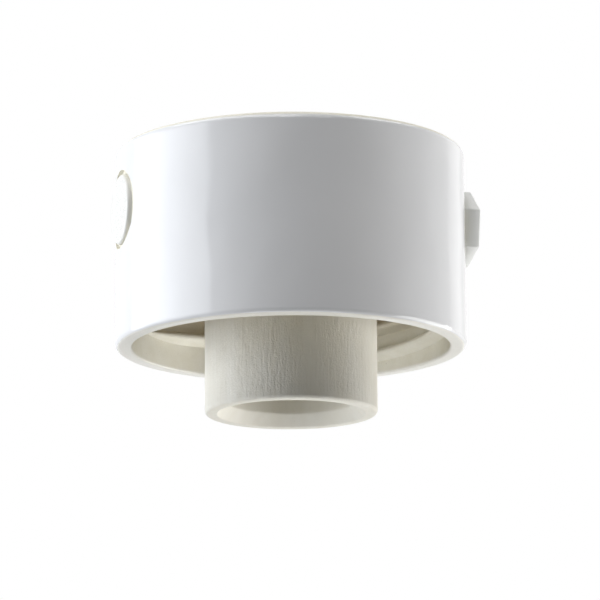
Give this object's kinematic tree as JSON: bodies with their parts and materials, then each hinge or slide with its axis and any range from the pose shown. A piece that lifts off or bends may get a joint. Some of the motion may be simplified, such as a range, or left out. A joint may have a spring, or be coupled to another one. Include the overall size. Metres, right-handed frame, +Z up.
{
  "type": "lamp holder",
  "caption": "Ceiling lamp holder: glazed porcelain drum with a side cable gland and blanking plug, a central unglazed tube with a screw socket, and a thread for a glass shade.",
  "frame": {"origin": "centre of the face that meets the ceiling", "axes": "+Z up into the ceiling, +X out of the cable gland; the holder hangs along -Z"},
  "size_m": [0.1044, 0.1, 0.0759],
  "materials": {
    "glazed_porcelain": "white glaze, glossy, bare at the rim and inside",
    "bisque_porcelain": "unglazed off-white porcelain, matt, fine grain",
    "brass": "plain stamped brass",
    "plated_brass": "nickel plate on brass, satin",
    "zinc_steel": "zinc-plated steel",
    "ivory_plastic": "moulded thermoset, light ivory, satin gloss",
    "grey_plastic": "moulded thermoset, grey-white, satin gloss",
    "packing_rubber": "black rubber, dull"
  },
  "bodies": {
    "holder": {"base_housing": "glazed_porcelain", "holder_body": "bisque_porcelain", "screw_shell": "plated_brass", "shell_rivet_1": "brass", "shell_rivet_2": "brass", "contact_spring": "zinc_steel", "live_strip": "brass", "neutral_strip": "brass", "live_terminal": "brass", "neutral_terminal": "brass", "live_strip_screw": "zinc_steel", "neutral_strip_screw": "zinc_steel", "holder_screw_1": "zinc_steel", "holder_screw_2": "zinc_steel", "spring_washer_1": "zinc_steel", "spring_washer_2": "zinc_steel", "captive_nut_1": "zinc_steel", "captive_nut_2": "zinc_steel", "gland_packing": "packing_rubber", "gland_seat_washer": "zinc_steel", "blanking_plug": "ivory_plastic", "plug_seal": "packing_rubber"},
    "contact": {"contact_plunger": "brass"},
    "gland_follower": {"gland_washer": "zinc_steel"},
    "gland": {"gland_screw": "grey_plastic"},
    "live_clamp": {"live_wire_clamp": "plated_brass"},
    "live_screw": {"live_wire_screw": "zinc_steel"},
    "neutral_clamp": {"neutral_wire_clamp": "plated_brass"},
    "neutral_screw": {"neutral_wire_screw": "zinc_steel"}
  },
  "joints": [
    {"name": "contact_travel", "type": "slide", "parent": "holder", "child": "contact", "axis": [0, 0, 1], "range_m": [0, 0.0025], "stiffness_N_per_m": 1000, "springref_m": -0.001, "deforming": ["contact_spring"]},
    {"name": "gland_slide", "type": "slide", "parent": "holder", "child": "gland_follower", "axis": [1, 0, 0], "range_m": [0, 0.0045]},
    {"name": "gland_turn", "type": "hinge", "parent": "gland_follower", "child": "gland", "pos_m": [0.0492, 0, -0.0192], "axis": [1, 0, 0], "range_deg": [0, 1080]},
    {"name": "live_clamp_slide", "type": "slide", "parent": "holder", "child": "live_clamp", "axis": [0, 0, -1], "range_m": [0, 0.003]},
    {"name": "live_screw_turn", "type": "hinge", "parent": "live_clamp", "child": "live_screw", "pos_m": [-0.02334, 0.02334, -0.0335], "axis": [0, 0, -1], "range_deg": [0, 1800]},
    {"name": "neutral_clamp_slide", "type": "slide", "parent": "holder", "child": "neutral_clamp", "axis": [0, 0, -1], "range_m": [0, 0.003]},
    {"name": "neutral_screw_turn", "type": "hinge", "parent": "neutral_clamp", "child": "neutral_screw", "pos_m": [0.02334, -0.02334, -0.0335], "axis": [0, 0, -1], "range_deg": [0, 1800]}
  ],
  "couplings": [
    {"joint": "gland_slide", "follows": "gland_turn", "m_per_rad": 0.00023873},
    {"joint": "live_screw_turn", "follows": "live_clamp_slide", "rad_per_m": 10472},
    {"joint": "neutral_screw_turn", "follows": "neutral_clamp_slide", "rad_per_m": 10472}
  ]
}
